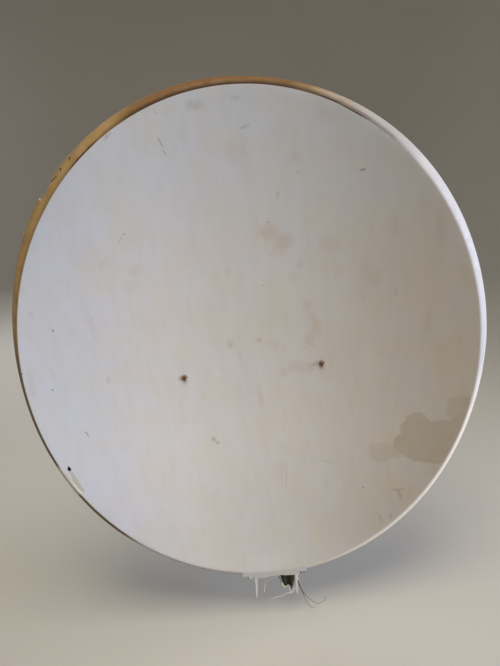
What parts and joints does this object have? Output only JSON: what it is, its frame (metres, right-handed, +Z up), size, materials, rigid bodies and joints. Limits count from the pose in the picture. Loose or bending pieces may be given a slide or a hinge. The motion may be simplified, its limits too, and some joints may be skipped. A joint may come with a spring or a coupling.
{
  "type": "offset satellite dish reflector",
  "caption": "Shallow offset satellite dish reflector in moulded glass-fibre polyester, with a flared rim, a torn bottom lip and a bolted steel tube frame behind that fixes to a mast bracket.",
  "frame": {"origin": "middle of the flat rear face of the mounting plate, where the mast bracket bolts on", "axes": "+Z up along the dish's long axis, with the rim plane upright; +Y out of the mounting plate's rear face, away from the bowl; +X to the right seen from the front"},
  "size_m": [0.9576, 0.1659, 1.1457],
  "materials": {
    "gelcoat": "weathered off-white polyester gelcoat, satin",
    "aged_gelcoat": "sun-yellowed polyester gelcoat on the rim, dull",
    "laminate": "torn glass-fibre laminate, pale and matt",
    "dark_laminate": "resin-soaked inner mat, dark and dirty",
    "rusty_steel": "zinc-plated screw head gone to rust",
    "zinc_steel": "dull zinc plate with light white rust",
    "galvanised_steel": "hot-dip galvanised tube and plate, weathered"
  },
  "bodies": {
    "root": {"reflector_shell": "gelcoat", "rim_flange": "aged_gelcoat", "bottom_lip": "gelcoat", "torn_flap": "dark_laminate", "torn_strip_left": "laminate", "torn_strip_right": "laminate", "boss_left": "gelcoat", "boss_right": "gelcoat", "face_bolt_left": "rusty_steel", "face_bolt_right": "rusty_steel", "face_washer_left": "zinc_steel", "face_washer_right": "zinc_steel", "face_nut_left": "zinc_steel", "face_nut_right": "zinc_steel", "top_cross_tube": "galvanised_steel", "low_cross_tube": "galvanised_steel", "leg_left": "galvanised_steel", "leg_right": "galvanised_steel", "mounting_plate": "galvanised_steel", "leg_bolt_left": "zinc_steel", "leg_bolt_right": "zinc_steel", "leg_nut_left": "zinc_steel", "leg_nut_right": "zinc_steel", "plate_bolt_top_left": "zinc_steel", "plate_bolt_top_right": "zinc_steel", "plate_bolt_low_left": "zinc_steel", "plate_bolt_low_right": "zinc_steel", "plate_nut_top_left": "zinc_steel", "plate_nut_top_right": "zinc_steel", "plate_nut_low_left": "zinc_steel", "plate_nut_low_right": "zinc_steel"}
  },
  "joints": []
}
